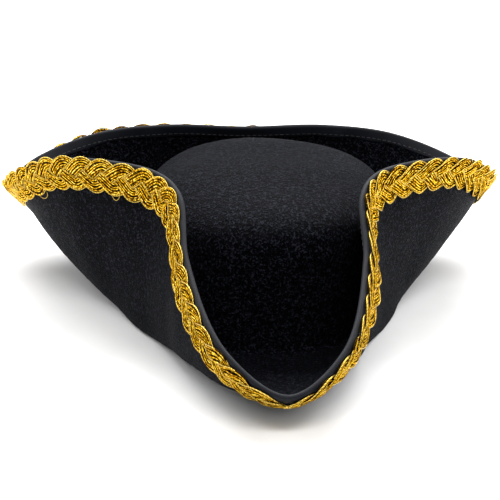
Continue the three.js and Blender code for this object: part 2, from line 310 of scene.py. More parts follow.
def grid_mesh(name, grids, closed_u=True):
    """A mesh of one or more grids of points, each (u, v, 3), measured from the head opening's
    middle. Every grid closes on itself along v. The UV map holds the place in the grid in
    metres: along u, then along v."""
    points, faces, uvs = [], [], []
    first = 0
    for grid in grids:
        n, m = grid.shape[:2]
        points.append(grid.reshape(-1, 3))
        u = np.arange(n if closed_u else n - 1)
        a, b = np.meshgrid(u, np.arange(m), indexing="ij")
        a, b = a.ravel(), b.ravel()
        corners = np.stack([a, a + 1, a + 1, a, b, b, b + 1, b + 1], 1)
        i, j = corners[:, :4], corners[:, 4:]
        faces.append(first + (i % n) * m + (j % m))
        side_u = np.linalg.norm(np.diff(grid[:, :1], axis=0), axis=-1).sum() / max(n - 1, 1)
        side_v = np.linalg.norm(np.diff(grid[n // 2], axis=0), axis=-1).sum() / max(m - 1, 1)
        uvs.append(np.stack([i * side_u, j * side_v], -1).reshape(-1, 2))
        first += n * m
    return make_mesh(name, np.concatenate(points), np.concatenate(faces), np.concatenate(uvs))


def make_mesh(name, points, faces, uvs):
    mesh = bpy.data.meshes.new(name)
    mesh.from_pydata((points + HEAD_CENTRE).tolist(), [], faces.tolist())
    layer = mesh.uv_layers.new(name="run")
    layer.data.foreach_set("uv", uvs.astype(np.float32).ravel())
    return mesh


def tube(path, radius, sides, up=None, flat=1.0, taper=0):
    """Rings of points round a path (n, 3). up is a direction or one per point; flat squashes the
    section along it; taper rounds that many rings off at both ends."""
    ahead = unit(np.gradient(path, axis=0))
    up = np.array([0, 0, 1.0]) if up is None else up
    up = np.broadcast_to(up, path.shape)
    side = unit(np.cross(ahead, up))
    up = np.cross(side, ahead)
    size = np.full(len(path), radius)
    for i in range(taper):
        share = math.sin(math.pi / 2 * (i + 0.3) / taper)
        size[i] *= share
        size[-1 - i] *= share
    turn = 2 * math.pi * np.arange(sides) / sides
    ring = (
        np.cos(turn)[None, :, None] * side[:, None]
        + np.sin(turn)[None, :, None] * flat * up[:, None]
    )
    return path[:, None] + size[:, None, None] * ring


def close_ends(grid):
    """The grid of an open tube with its two ends drawn together to a point."""
    first = np.broadcast_to(grid[0].mean(0), grid[0].shape)
    last = np.broadcast_to(grid[-1].mean(0), grid[-1].shape)
    return np.concatenate([first[None], grid, last[None]])


def merge_doubles(mesh):
    """The mesh with points that fall together made one, and all its faces turned outwards."""
    together = 1e-6
    work = bmesh.new()
    work.from_mesh(mesh)
    bmesh.ops.remove_doubles(work, verts=work.verts, dist=together)
    bmesh.ops.recalc_face_normals(work, faces=work.faces)
    work.to_mesh(mesh)
    work.free()
    return mesh


# ---- Materials ----


class Shader:
    """A procedural material: nodes are added by type, with sockets given by name."""

    def __init__(self, name):
        self.material = bpy.data.materials.new(name)
        self.material.use_nodes = True
        self.tree = self.material.node_tree
        self.tree.nodes.clear()
        output = self.tree.nodes.new("ShaderNodeOutputMaterial")
        self.surface = self.tree.nodes.new("ShaderNodeBsdfPrincipled")
        self.tree.links.new(self.surface.outputs[0], output.inputs["Surface"])

    def node(self, kind, settings=None, **sockets):
        made = self.tree.nodes.new("ShaderNode" + kind)
        for key, value in (settings or {}).items():
            setattr(made, key, value)
        for key, value in sockets.items():
            self.set(made, key.replace("_", " "), value)
        return made

    def set(self, made, socket, value):
        target = made.inputs[int(socket)] if socket.isdigit() else made.inputs[socket]
        if isinstance(value, bpy.types.NodeSocket):
            self.tree.links.new(value, target)
        else:
            target.default_value = value

    def look(self, **sockets):
        for key, value in sockets.items():
            self.set(self.surface, key.replace("_", " "), value)

    def places(self):
        return self.node("TexCoord").outputs["Object"]

    def run(self):
        return self.node("UVMap", {"uv_map": "run"}).outputs["UV"]

    def noise(self, vector, scale, detail=2.0, roughness=0.5):
        made = self.node("TexNoise", Scale=scale, Detail=detail, Roughness=roughness)
        self.set(made, "Vector", vector)
        return made.outputs["Fac"]

    def stretched(self, vector, scale):
        made = self.node("Mapping", Scale=scale)
        self.set(made, "Vector", vector)
        return made.outputs["Vector"]

    def math(self, operation, a, b=0.0):
        made = self.node("Math", {"operation": operation})
        self.set(made, "0", a)
        self.set(made, "1", b)
        return made.outputs[0]

    def ramp(self, value, stops):
        """A colour ramp: stops are (place, colour)."""
        made = self.node("ValToRGB", Fac=value)
        ends = made.color_ramp.elements
        for i, (place, colour) in enumerate(stops):
            stop = ends[i] if i < len(ends) else ends.new(place)
            stop.position = place
            stop.color = (*colour, 1)
        return made.outputs["Color"]

    def spread(self, value, low, high):
        """The value's range 0 to 1 mapped to low to high."""
        made = self.node("MapRange", Value=value)
        self.set(made, "To Min", low)
        self.set(made, "To Max", high)
        return made.outputs["Result"]

    def bump(self, height, distance, strength=1.0, normal=None):
        made = self.node("Bump", Height=height, Distance=distance, Strength=strength)
        if normal is not None:
            self.set(made, "Normal", normal)
        return made.outputs["Normal"]


def felt_material():
    """Black wool felt: a mat of short fibres, bluish where it catches the light."""
    shader = Shader("felt")
    place = shader.places()
    fibres = shader.noise(place, 820.0, 3.0, 0.7)
    clumps = shader.noise(place, 430.0, 3.0, 0.6)
    patches = shader.noise(place, 26.0, 2.0)
    fibre_part = shader.math("MULTIPLY", fibres, 0.65)
    clump_part = shader.math("MULTIPLY", clumps, 0.35)
    mixed = shader.math("ADD", fibre_part, clump_part)
    dark = (0.0002, 0.0002, 0.0003)
    middle = (0.0009, 0.0009, 0.0014)
    lint = (0.0215, 0.0226, 0.0325)
    colour = shader.ramp(mixed, [(0.44, dark), (0.515, middle), (0.60, lint)])
    near = shader.bump(fibres, 1.4 * MM, 1.0)
    shader.look(
        Base_Color=colour,
        Roughness=shader.spread(patches, 0.52, 0.66),
        Normal=shader.bump(clumps, 1.0 * MM, 1.0, near),
        Sheen_Weight=0.006,
        Sheen_Roughness=0.45,
        Sheen_Tint=(0.75, 0.78, 0.9, 1),
        Specular_IOR_Level=0.027,
        Specular_Tint=(0.70, 0.80, 1.0, 1),
    )
    return shader.material


def tape_material():
    """Slate-black woven tape with fine ribs across it."""
    shader = Shader("binding")
    run = shader.run()
    ribs = shader.node("TexWave", {"bands_direction": "X"}, Scale=260.0, Distortion=0.4)
    shader.set(ribs, "Vector", run)
    weave = shader.noise(shader.stretched(run, (700.0, 2600.0, 1.0)), 1.0, 2.0)
    patches = shader.noise(shader.places(), 45.0, 2.0)
    dark = (0.0042, 0.0048, 0.0075)
    pale = (0.0085, 0.0096, 0.0145)
    colour = shader.ramp(patches, [(0.3, dark), (0.7, pale)])
    height = shader.math("ADD", ribs.outputs["Fac"], weave)
    shader.look(
        Base_Color=colour,
        Roughness=shader.spread(weave, 0.45, 0.7),
        Normal=shader.bump(height, 0.08 * MM, 0.6),
        Sheen_Weight=0.025,
        Sheen_Roughness=0.4,
        Specular_IOR_Level=0.16,
    )
    return shader.material


def gold_material(name, girth):
    """Metallised yarn: facets of bright foil of random tone, with painted shade in orange-brown and
    near black down the sides of a cord and a painted pale highlight along its top and in sparkles.
    girth is the distance round a cord, whose map starts at one side."""
    shader = Shader(name)
    place = shader.places()
    run = shader.run()
    parts = shader.node("SeparateXYZ")
    shader.set(parts, "Vector", run)
    # Painted shade: from its place round the map, a cord is coloured darker down its sides and
    # brightest along its top and underside.
    painted_cord_shade = shader.math("SINE", shader.math("MULTIPLY", parts.outputs["Y"], 2 * math.pi / girth))
    painted_cord_shade = shader.math("POWER", shader.math("ABSOLUTE", painted_cord_shade), 1.1)
    facets = shader.noise(place, 560.0, 3.0, 0.7)
    flakes = shader.noise(place, 1500.0, 2.0, 0.7)
    mixed = shader.math("MULTIPLY", painted_cord_shade, shader.math("ADD", facets, 0.08))
    # The darkest stops are painted shade down the cords' sides, mixed with darker foil where the
    # facets are low; the palest stop is a painted highlight along the cords' tops and in sparkles.
    stops = [
        (0.35, (0.006, 0.0015, 0.0002)),
        (0.475, (0.15, 0.050, 0.001)),
        (0.555, (0.60, 0.30, 0.005)),
        (0.625, (0.98, 0.63, 0.018)),
        (0.69, (1.0, 0.95, 0.28)),
    ]
    near = shader.bump(flakes, 0.3 * MM, 0.7)
    shader.look(
        Base_Color=shader.ramp(mixed, stops),
        Metallic=0.93,
        Roughness=shader.spread(flakes, 0.10, 0.38),
        Normal=shader.bump(facets, 0.8 * MM, 1.0, near),
        Specular_Tint=(1.0, 0.76, 0.25, 1),
    )
    return shader.material


def thread_material(name, colour, metallic=0.0):
    """Twisted sewing thread, or metallised yarn, with painted shade in the grooves of the twist."""
    shader = Shader(name)
    twist = shader.node("TexWave", {"bands_direction": "DIAGONAL"}, Scale=420.0, Distortion=0.5)
    shader.set(twist, "Vector", shader.run())
    # Painted shade: the colour is darker in the grooves of the twist.
    painted_twist_shade = shader.ramp(
        twist.outputs["Fac"],
        [(0.1, tuple(0.35 * c for c in colour)), (0.8, colour)],
    )
    shader.look(
        Base_Color=painted_twist_shade,
        Metallic=metallic,
        Roughness=0.6 - 0.3 * metallic,
        Normal=shader.bump(twist.outputs["Fac"], 0.1 * MM, 0.8),
        Sheen_Weight=0.2 * (1 - metallic),
    )
    return shader.material


def steel_material():
    """Drawn spring wire with a few dull spots."""
    shader = Shader("steel")
    place = shader.places()
    spots = shader.noise(place, 400.0, 3.0)
    colour = shader.ramp(spots, [(0.3, (0.35, 0.34, 0.33)), (0.7, (0.62, 0.62, 0.62))])
    shader.look(
        Base_Color=colour,
        Metallic=1.0,
        Roughness=shader.spread(spots, 0.22, 0.5),
        Normal=shader.bump(spots, 0.03 * MM, 0.5),
    )
    return shader.material


def grosgrain_material():
    """Black ribbed ribbon."""
    shader = Shader("sweatband")
    run = shader.run()
    yarns = shader.noise(shader.stretched(run, (900.0, 3000.0, 1.0)), 1.0, 2.0)
    patches = shader.noise(shader.places(), 60.0, 3.0)
    colour = shader.ramp(patches, [(0.3, (0.008, 0.008, 0.010)), (0.7, (0.020, 0.020, 0.024))])
    shader.look(
        Base_Color=colour,
        Roughness=shader.spread(yarns, 0.5, 0.8),
        Normal=shader.bump(yarns, 0.06 * MM, 0.7),
        Sheen_Weight=0.3,
    )
    return shader.material


def label_material():
    """Off-white satin ribbon with fine long floats."""
    shader = Shader("label")
    run = shader.run()
    floats = shader.noise(shader.stretched(run, (3500.0, 500.0, 1.0)), 1.0, 2.0)
    patches = shader.noise(shader.places(), 120.0, 3.0)
    colour = shader.ramp(patches, [(0.3, (0.62, 0.60, 0.55)), (0.7, (0.74, 0.73, 0.69))])
    shader.look(
        Base_Color=colour,
        Roughness=shader.spread(floats, 0.35, 0.6),
        Normal=shader.bump(floats, 0.05 * MM, 0.6),
        Sheen_Weight=0.2,
    )
    return shader.material


def floor_material():
    shader = Shader("floor")
    grain = shader.noise(shader.places(), 30.0, 2.0)
    colour = shader.ramp(grain, [(0.3, (0.90, 0.90, 0.90)), (0.7, (0.93, 0.93, 0.93))])
    shader.look(Base_Color=colour, Roughness=0.6)
    return shader.material


FELT_LOOK = felt_material()
TAPE_LOOK = tape_material()
GOLD_THREAD = thread_material("gold_thread", (1.0, 0.68, 0.10), metallic=0.8)
BLACK_THREAD = thread_material("black_thread", (0.022, 0.023, 0.028))
BAND_LOOK = grosgrain_material()
LABEL_LOOK = label_material()
STEEL_LOOK = steel_material()


# ---- Crown ----


def head_ring(angle, scale, grow, z):
    """Rings of the head opening's ellipse, one for each (scale, grow, z)."""
    wide = HEAD_HALF_WIDTH * scale[None] + grow[None]
    long = HEAD_HALF_LENGTH * scale[None] + grow[None]
    share = np.clip((z - LEAN_FROM) / (CROWN_TOP - LEAN_FROM), 0, 1)
    x = wide * np.sin(angle)[:, None] + CROWN_LEAN * (share**2 * (3 - 2 * share))[None]
    y = -long * np.cos(angle)[:, None]
    return np.stack([x, y, np.broadcast_to(z[None], x.shape)], -1)


def crown_outline(steps):
    """Scale, growth and height of the crown's outside, from its turned-out foot to the top."""
    foot_radius = 3.2 * MM
    foot = FELT / 2 + 0.05 * MM
    turn = np.linspace(0, math.pi / 2, 7)
    flare = foot_radius * (1 - np.sin(turn))
    rise = foot + foot_radius * (1 - np.cos(turn))
    side = np.linspace(foot + foot_radius, CROWN_SIDE_TOP, 20)[1:-1]
    dome = np.linspace(0, math.pi / 2, steps)
    narrowing = np.cos(dome) ** (2 / DOME_POWER)
    narrowing[-1] = 0
    rising = CROWN_SIDE_TOP + (CROWN_TOP - CROWN_SIDE_TOP) * np.sin(dome) ** (2 / DOME_POWER)
    scale = np.concatenate([np.ones(len(turn) + len(side)), narrowing])
    grow = np.concatenate([flare, np.zeros(len(side) + steps)])
    return scale, grow, np.concatenate([rise, side, rising])


def add_crown():
    stations = 300
    angle = 2 * math.pi * np.arange(stations) / stations
    outer = head_ring(angle, *crown_outline(60))
    outer = outer + outwards_of(outer) * soften(outer)[..., None]
    inner = outer - outwards_of(outer) * FELT
    rows = np.concatenate([outer, inner[:, ::-1]], 1)
    mesh = merge_doubles(grid_mesh("crown", [rows]))
    piece = add_piece("crown", mesh, FELT_LOOK, replaces=["crown_felt"])


def outwards_of(grid):
    """Normals of a grid of rings that closes to a point at its last row."""
    around = np.roll(grid, -1, 0) - np.roll(grid, 1, 0)
    rising = np.gradient(grid, axis=1)
    normal = np.cross(around, rising)
    normal[:, -1] = (0, 0, 1)
    return unit(normal)


def soften(points):
    """Small dents and swellings of hand-pressed felt. The broad ones are above the sweatband only,
    and mostly dents."""
    share = np.clip((points[..., 2] - LEAN_FROM) / (CROWN_SIDE_TOP - LEAN_FROM), 0, 1)
    depth = 0.9 * MM
    broad = depth * ripple(points, 90 * MM, 3)
    fine = 0.10 * MM * ripple(points, 9 * MM, 4)
    return share * (broad - depth) + fine


add_crown()


# ---- Brim ----


def brim_rows():
    """The brim's middle surface and normals in rows from the head opening to inside the tape."""
    t = STATION_T[::2]
    edge = curve_through(EDGE_KNOTS, t)
    up = np.broadcast_to(np.array([0, 0, 1.0]), edge.shape)
    points = [beside_head(edge, d) for d in np.linspace(-FELT, RING_WIDTH, 7)[:-1]]
    normals = [up] * len(points)
    end = inset_share(t, FELT_INSET)
    for share in np.linspace(0, 1, 56):
        v = end * share
        points.append(brim_point(t, v))
        normals.append(brim_slopes(t, np.maximum(v, 1e-3))[2])
    return np.stack(points, 1), np.stack(normals, 1)


def inset_share(t, inset):
    """v where the surface is that far in from the edge, square to the edge."""
    steps = np.linspace(1, 0.7, 61)
    grid = np.stack([brim_point(t, v) for v in steps], 1)
    ahead = unit(curve_through(EDGE_KNOTS, t + 1e-4) - curve_through(EDGE_KNOTS, t - 1e-4))
    away = grid - grid[:, :1]
    square = np.linalg.norm(away - dot(away, ahead[:, None]) * ahead[:, None], axis=-1)
    return np.array([np.interp(inset, row, steps) for row in square])


def add_brim():
    middle, normal = brim_rows()
    waviness = 0.5 * MM * ripple(middle, 70 * MM, 11) + 0.08 * MM * ripple(middle, 8 * MM, 12)
    reach = np.linspace(0, 1, middle.shape[1])
    held = np.clip(np.minimum(reach * 6 - 0.6, (1 - reach) * 6), 0, 1)
    middle = middle + normal * (waviness * held[None])[..., None]
    upper = middle + normal * FELT / 2
    under = middle - normal * FELT / 2
    rows = np.concatenate([upper, under[:, ::-1]], 1)
    mesh = merge_doubles(grid_mesh("brim", [rows]))
    piece = add_piece("brim", mesh, FELT_LOOK, replaces=["brim_felt"])
    # The felt is cut as an oval with the head opening out of its middle; its mean reach from the
    # opening to the edge.
    reach = np.linalg.norm(np.diff(middle, axis=1), axis=-1).sum(axis=1).mean()


add_brim()


# ---- Binding ----


def binding_section(inner):
    """Depth and lift of the tape's section, from the leaf on the crown's side round the edge. The
    leaves are pressed towards the felt where they are sewn."""
    radius = FOLD_RADIUS - (TAPE if inner else 0)
    depths = np.linspace(TAPE_DEPTH, FOLD_RADIUS, 9)[:-1]
    pressed_from = 4 * MM
    pressed = np.clip((depths - pressed_from) / (5 * MM), 0, 1)
    press = 0.38 * MM * pressed**1.5
    turn = np.linspace(math.pi / 2, -math.pi / 2, 13)
    depth = np.concatenate([depths, FOLD_RADIUS - radius * np.cos(turn), depths[::-1]])
    leaf = radius - press
    lift = np.concatenate([leaf, radius * np.sin(turn), -leaf[::-1]])
    return depth, lift


def add_binding():
    count = 1000
    along = np.arange(count) / count * EDGE_LENGTH
    outside = edge_section(along, *binding_section(False))
    inside = edge_section(along, *binding_section(True))
    grid = np.concatenate([outside, inside[:, ::-1]], 1)
    mesh = merge_doubles(grid_mesh("binding", [grid]))
    piece = add_piece("binding", mesh, TAPE_LOOK, replaces=["edge_binding"])


def edge_section(along, depth, lift):
    """The section swept along the edge, with the slight waver of sewn tape. Round the fold it is
    drawn from the fold's centre, which keeps it round where the edge bends."""
    frame_at = at_edge(along, np.full_like(along, FOLD_RADIUS), np.zeros_like(along))
    off = at_edge(along, np.full_like(along, FOLD_RADIUS), np.full_like(along, MM)) - frame_at
    off = off / MM
    inward = unit(at_edge(along, np.full_like(along, FOLD_RADIUS + 2 * MM), 0 * along) - frame_at)
    unevenness = 0.05  # of the leaves' width, as a share of it
    pucker_height = 0.10 * MM
    width = 1 + unevenness * np.sin(along / (7 * MM) + 3 * np.sin(along / (43 * MM)))
    puckers = pucker_height * np.sin(along / (2.1 * MM) + 2 * np.sin(along / (31 * MM)))
    rows = []
    for d, z in zip(depth, lift):
        if d > FOLD_RADIUS:
            wide = np.full_like(along, d) * np.where(d > TAPE_DEPTH - MM, width, 1)
            pucker = puckers * (d - FOLD_RADIUS) / (TAPE_DEPTH - FOLD_RADIUS)
            rows.append(at_edge(along, wide, z + pucker * np.sign(z)))
        else:
            rows.append(frame_at + off * z + inward * (d - FOLD_RADIUS))
    return np.stack(rows, 1)


add_binding()


def add_binding_stitches():
    """A row of stitches along both leaves of the tape."""
    pitch = 4.2 * MM
    length = 2.9 * MM
    radius = 0.26 * MM
    count = int(EDGE_LENGTH / pitch)
    shape = np.linspace(-1, 1, 7)
    grids = []
    for i in range(count):
        along = (i + 0.5) * EDGE_LENGTH / count + shape * length / 2
        for side in (1, -1):
            lift = side * (FOLD_RADIUS - 0.12 * MM + 0.18 * MM * (1 - shape**2))
            depth = np.full_like(along, TAPE_DEPTH - 2 * MM)
            path = at_edge(along, depth, lift)
            up = at_edge(along, depth, lift + side * MM) - path
            grids.append(close_ends(tube(path, radius, 6, up=up, taper=2)))
    mesh = merge_doubles(grid_mesh("binding_stitches", grids, closed_u=False))
    add_piece("binding_stitches", mesh, BLACK_THREAD, replaces=["binding_thread"])


add_binding_stitches()


# ---- Gold braid ----

BRAID_PERIOD = 48.5 * MM  # of one strand from side to side and back
STRANDS = 3
BUNDLE = 5  # cords in a strand
CORD = 1.7 * MM  # width of a cord
CORD_FLAT = 0.85  # its thickness over its width
RIM_THREAD = 0.34 * MM  # radius of the fine thread on both sides of a strand
BUNDLE_WIDTH = BUNDLE * CORD
CORD_SIDES = 8
CORD_GIRTH = math.pi * CORD * (1 + CORD_FLAT) / 2
GOLD_LOOK = gold_material("gold", CORD_GIRTH)
BRAID_GAP = 0.9 * MM  # from the front corner's middle to each end of the braid
BINDING_REACH = 12 * MM  # the depth at which the braid starts to climb on to the binding
BINDING_CLIMB = 3 * MM  # and how much further up it has done so

# The unevenness of the braid: the size and the longest wave of each kind.
BUNCHING = (0.16, 60 * MM)  # of the strands' wave, in radians
LOBES = (0.06, 12 * MM)  # of the strands' swing, as a share of it
WAVER = (0.32 * MM, 7 * MM)  # of a cord, sideways
RISE = (0.2 * MM, 5 * MM)  # of a cord, in its height off the felt
SAG = (0.45 * MM, 50 * MM)  # of the whole braid, up and down the brim


def waver(along, draw, size, longest):
    """A wandering line: three waves whose heights, lengths and phases are drawn."""
    total = 0
    for _ in range(3):
        height = draw.uniform(0.3, 0.8)
        length = draw.uniform(longest / 4, longest)
        total = total + height * np.sin(along / length + draw.uniform(0, 6.3))
    return size * total


def swing(phase):
    """The sideways wave of a strand, between a sine and a zigzag, from -1 to 1."""
    return (np.sin(phase) - 0.055 * np.sin(3 * phase)) / 1.055


def braid_phase(along, strand):
    """Where a strand is in its wave. Hand-fed braid is drawn out here and bunched there."""
    bunching = waver(along, np.random.default_rng(7), *BUNCHING)
    return 2 * math.pi * (along / BRAID_PERIOD + strand / STRANDS) + bunching


def strand_paths(strand, offsets, seed):
    """Along, sideways place and height of paths that run beside a strand's middle line."""
    draw = np.random.default_rng(seed)
    along = np.linspace(BRAID_GAP, EDGE_LENGTH - BRAID_GAP, int(EDGE_LENGTH / MM))
    phase = braid_phase(along, strand)
    lobes = 1 + waver(along, np.random.default_rng(90 + strand), *LOBES)
    past_width = 0.5 * MM  # the scallops pass half the braid's width by this much
    side = swing(phase) * lobes * ((BRAID_WIDTH - BUNDLE_WIDTH) / 2 + past_width)
    slope = np.gradient(side, along)
    square = np.stack([-slope, np.ones_like(slope)], -1) / np.hypot(slope, 1)[:, None]
    height = np.tanh(1.6 * np.sin(2 * phase))
    for offset in offsets:
        out = offset + waver(along, draw, *WAVER)
        rise = waver(along, draw, *RISE)
        yield along + square[:, 0] * out, side + square[:, 1] * out, height, rise


# Where the braid rides up towards the edge: the middle and reach of the place as shares of the
# edge's length, and the height in millimetres.
RIDES_UP = [
    (0.10, 0.05, 1.8),  # the +X side of the front corner
    (0.27, 0.08, 2.0),  # the +X side flap, towards its rear corner
    (0.73, 0.08, 2.6),  # the -X side flap, towards its rear corner
    (0.59, 0.03, 2.6),  # the -X end of the back flap
    (0.50, 0.09, -1.8),  # the middle of the back flap, where it sits lower instead
]


def braid_middle(along):
    """Depth of the braid's middle line. Where it rides up, its scallops stand past the edge."""
    share = along / EDGE_LENGTH
    rides_up = sum(
        height * np.exp(-(((share - centre) / reach) ** 2)) for centre, reach, height in RIDES_UP
    )
    sag = waver(along, np.random.default_rng(17), *SAG)
    everywhere = 0.4
    return BRAID_START + BRAID_WIDTH / 2 - (everywhere + rides_up) * MM + sag


def past_edge(along, depth, lift):
    """As at_edge, but a negative depth stands out beyond the edge."""
    ahead = np.minimum(depth, 0)[:, None]
    place = at_edge(along, np.maximum(depth, 0), lift)
    edge = at_edge(along, 0 * depth, 0 * depth)
    inward = unit(at_edge(along, 2 * MM + 0 * depth, 0 * depth) - edge)
    return place + ahead * inward


def stands_off(along, depth):
    """How far the braid stands off the felt. It is sewn near the edge only, and on the +X side of
    the front corner its lower scallops turn outwards."""
    centre, reach = 0.10, 0.055  # shares of the edge's length
    furthest = 4.5 * MM
    turned = np.exp(-(((along / EDGE_LENGTH - centre) / reach) ** 2))
    return furthest * turned * np.clip(depth / BRAID_WIDTH, 0, 1)


def on_braid(along, side, height, rise):
    """Points on the outer face of the brim, as high as the plait is there, and their upward
    directions. The braid is drawn in to a waist at the front corner, where its ends meet."""
    nearest = 0.4 * MM  # to the front corner's middle
    drawn_in, waist_length = 0.22, 7 * MM
    along = np.clip(along, nearest, EDGE_LENGTH - nearest)
    end = np.minimum(along, EDGE_LENGTH - along)
    waist = 1 - drawn_in * np.exp(-((end / waist_length) ** 2))
    depth = braid_middle(along) + side * waist
    step = (FOLD_RADIUS - FELT / 2) * np.clip((BINDING_REACH - depth) / BINDING_CLIMB, 0, 1)
    cord_lift = CORD * CORD_FLAT / 2
    over = -(FELT / 2 + step + 1.6 * cord_lift + height * cord_lift * 0.85 + rise)
    over = over - stands_off(along, depth)
    path = past_edge(along, depth, over)
    return path, past_edge(along, depth, over - MM) - path


def add_braid():
    closeness = 0.98  # the cords of a strand lie a little closer than their width
    cord_offsets = (np.arange(BUNDLE) - (BUNDLE - 1) / 2) * CORD * closeness
    for strand in range(STRANDS):
        grids = []
        for place in strand_paths(strand, cord_offsets, 40 + strand):
            path, up = on_braid(*place)
            cord = tube(path, CORD / 2, CORD_SIDES, up=up, flat=CORD_FLAT, taper=2)
            grids.append(close_ends(cord))
        name = "braid_strand_" + "abc"[strand]
        mesh = merge_doubles(grid_mesh(name, grids, closed_u=False))
        add_piece(name, mesh, GOLD_LOOK, replaces=["gold_braid"])


def add_rim_threads():
    """The fine pale thread that outlines both sides of each strand."""
    rim = BUNDLE_WIDTH / 2 + 0.1 * MM
    above_cords = 0.25 * MM
    grids = []
    for strand in range(STRANDS):
        for along, side, height, rise in strand_paths(strand, (-rim, rim), 60 + strand):
            path, up = on_braid(along, side, height, rise + above_cords)
            grids.append(close_ends(tube(path, RIM_THREAD, 6, up=up, taper=2)))
    mesh = merge_doubles(grid_mesh("braid_rim_threads", grids, closed_u=False))
    add_piece("braid_rim_threads", mesh, GOLD_THREAD, replaces=["gold_braid"])


# Loops of thread that have sprung loose: distance of their middle along the edge, depth where
# they start, length along the braid, and how far they stand out sideways, in millimetres.
STRAY_LOOPS = [
    (757, 2, 12, -8),
    (739, 2, 9, -6.5),
    (905, 20, 12, 4),
    (984, 20, 7, 5),
    (301, 2, 10, -5),
    (470, 20, 9, 4),
]


def add_stray_loops():
    grids = []
    radius = 0.17 * MM
    lift = -2.8 * MM
    sweep = np.linspace(0, math.pi, 20)
    for start, depth, length, stand in STRAY_LOOPS:
        along = start * MM - length / 2 * MM * np.cos(sweep)
        deep = (depth + stand * np.sin(sweep)) * MM
        path = past_edge(along, deep, lift + 0 * deep)
        up = past_edge(along, deep, lift - MM + 0 * deep) - path
        grids.append(close_ends(tube(path, radius, 6, up=up, taper=2)))
    mesh = merge_doubles(grid_mesh("braid_stray_loops", grids, closed_u=False))
    add_piece("braid_stray_loops", mesh, GOLD_THREAD, replaces=["gold_braid"])


def zigzag(count, half_width, rounding=6):
    """Sideways place and share of the way along of a zigzag with rounded turns."""
    share = np.linspace(0, 1, count * rounding + 1)
    turn = np.arcsin(0.985 * np.sin(math.pi * count * share + 0.2)) / (math.pi / 2)
    return half_width * turn, share


def add_braid_end_thread():
    """The zigzag that sews the braid's two ends together at the front corner."""
    half_width = 1.9 * MM
    side, share = zigzag(9, half_width)
    depth = (3 + 16 * share) * MM
    lift = -(3.0 * MM + 0.8 * MM * np.clip((BINDING_REACH - depth) / BINDING_CLIMB, 0, 1))
    lift = lift - 0.5 * MM * np.abs(side) / half_width
    path = at_edge(side, depth, lift)
    up = at_edge(side, depth, lift - MM) - path
    grid = close_ends(tube(path, 0.3 * MM, 8, up=up, taper=2))
    mesh = merge_doubles(grid_mesh("braid_end_zigzag", [grid], closed_u=False))
    add_piece("braid_end_zigzag", mesh, GOLD_THREAD, replaces=["braid_end_thread"])


add_braid()
add_rim_threads()
add_stray_loops()
add_braid_end_thread()


# ---- Sweatband ----

BAND_X = HEAD_HALF_WIDTH - BAND_INSET
BAND_Y = HEAD_HALF_LENGTH - BAND_INSET
BAND_FOOT = BAND_LOW.z - HEAD_CENTRE[2]
BAND_HEIGHT = BAND_HIGH.z - BAND_LOW.z
BAND_TURNS = np.linspace(0, 2 * math.pi, 4001)
BAND_STEPS = np.hypot(BAND_X * np.cos(BAND_TURNS), BAND_Y * np.sin(BAND_TURNS))
BAND_GONE = np.concatenate([[0], np.cumsum((BAND_STEPS[1:] + BAND_STEPS[:-1]) / 2)])
BAND_GONE = BAND_GONE * (BAND_TURNS[1] - BAND_TURNS[0])
BAND_LENGTH = BAND_GONE[-1]
BAND_SPLIT = 0.8 * MM  # between the ribbon's two ends
RIB = 1.15 * MM  # from one rib to the next
BAND_LEAN = 0.15 * MM  # inwards, at its upper edge


def at_band(along, height, inside):
    """The point at a length round the band's outer face from the middle of the back, a height
    above its lower edge and a distance in from that face. The band leans in a little upwards."""
    turn = np.interp(along % BAND_LENGTH, BAND_GONE, BAND_TURNS)
    x, y = BAND_X * np.sin(turn), BAND_Y * np.cos(turn)
    out = unit(np.stack([x / BAND_X**2, y / BAND_Y**2], -1))
    lean = BAND_LEAN * np.clip(height / BAND_HEIGHT, 0, 1) ** 2
    place = np.stack([x, y], -1) - out * (inside + lean)[..., None]
    return np.stack([place[..., 0], place[..., 1], BAND_FOOT + height + 0 * x], -1)


def band_section():
    """Height and distance in from the outer face round the band's rounded section."""
    half = BAND_THICK / 2
    sides = np.linspace(half, BAND_HEIGHT - half, 9)
    turn = np.linspace(0, math.pi, 5)[1:-1]
    top = BAND_HEIGHT - half + half * np.sin(turn)
    foot = half - half * np.sin(turn)
    height = np.concatenate([sides, top, sides[::-1], foot])
    inside = np.concatenate(
        [0 * sides, half - half * np.cos(turn), 2 * half + 0 * sides, half + half * np.cos(turn)]
    )
    return height, inside


def add_band():
    ribs = int((BAND_LENGTH - BAND_SPLIT) / RIB)
    along = np.linspace(BAND_SPLIT / 2, BAND_LENGTH - BAND_SPLIT / 2, ribs * 6 + 1)
    rib_height = 0.14 * MM
    relief = rib_height * np.abs(np.sin(math.pi * ribs * np.linspace(0, 1, len(along))))
    wave = 0.3 * MM * np.sin(along / (31 * MM)) * np.sin(along / (77 * MM))
    rows = []
    for height, inside in zip(*band_section()):
        face = (relief - rib_height) * (inside > BAND_THICK / 2)
        edge = wave * (height / BAND_HEIGHT) ** 3
        rows.append(at_band(along, height + edge, inside + face + 0.1 * MM))
    grid = close_ends(np.stack(rows, 1))
    mesh = merge_doubles(grid_mesh("sweatband_ribbon", [grid], closed_u=False))
    piece = add_piece("sweatband_ribbon", mesh, BAND_LOOK, replaces=["sweatband"])


def add_band_stitches():
    """A row of stitches near the band's lower edge."""
    pitch = 4.5 * MM
    half_length = 1.6 * MM
    count = int(BAND_LENGTH / pitch)
    shape = np.linspace(-1, 1, 7)
    grids = []
    for i in range(count):
        along = (i + 0.5) * BAND_LENGTH / count + shape * half_length
        height = np.full_like(along, 2 * MM)
        path = at_band(along, height, BAND_THICK + 0.14 * MM + 0.16 * MM * (1 - shape**2))
        grids.append(close_ends(tube(path, 0.24 * MM, 6, taper=2)))
    mesh = merge_doubles(grid_mesh("sweatband_stitches", grids, closed_u=False))
    replaced = ["sweatband_thread"]
    add_piece("sweatband_stitches", mesh, BLACK_THREAD, replaces=replaced)


